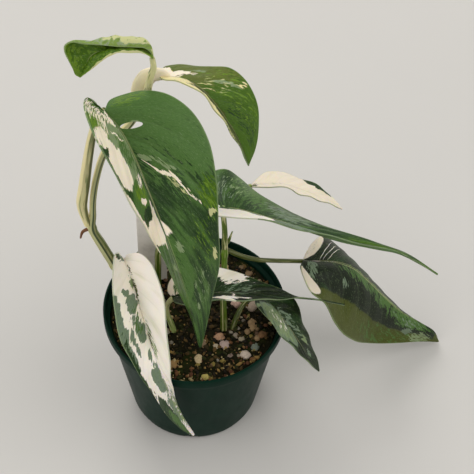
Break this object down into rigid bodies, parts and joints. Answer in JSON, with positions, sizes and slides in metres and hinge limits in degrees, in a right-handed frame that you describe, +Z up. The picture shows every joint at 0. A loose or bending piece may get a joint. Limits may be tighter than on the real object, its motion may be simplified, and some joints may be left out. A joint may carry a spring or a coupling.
{
  "type": "potted variegated vine plant",
  "caption": "Young climbing aroid with white and green marbled leaves on arching stalks, in a round tapered nursery pot with a blank plant label.",
  "frame": {"origin": "middle of the pot's underside, on the surface it stands on", "axes": "+Z up the plant; -Y towards the viewer; +X to the side that the long leaves reach to"},
  "size_m": [0.2188, 0.1272, 0.2686],
  "materials": {
    "pot_plastic": "semi-gloss moulded",
    "potting_mix": "rough, damp",
    "label": "matt",
    "stalk": "smooth, waxy",
    "root": "dry",
    "green_leaf": "satin, variegated",
    "white_leaf": "satin, variegated"
  },
  "bodies": {
    "root": {"pot": "pot_plastic", "potting_mix": "potting_mix", "plant_label": "label", "vine_stem": "stalk", "aerial_root": "root", "front_petiole": "stalk", "arched_petiole": "stalk", "new_petiole": "stalk", "offshoot_stem": "stalk", "long_petiole": "stalk", "table_petiole": "stalk", "rim_petiole": "stalk", "low_petiole": "stalk", "white_petiole": "stalk", "cream_petiole": "stalk", "front_leaf": "green_leaf", "new_leaf": "green_leaf", "arched_leaf": "green_leaf", "long_leaf": "green_leaf", "table_leaf": "green_leaf", "low_leaf": "green_leaf", "rim_leaf": "green_leaf", "cream_leaf": "white_leaf", "white_leaf": "white_leaf"}
  },
  "joints": []
}
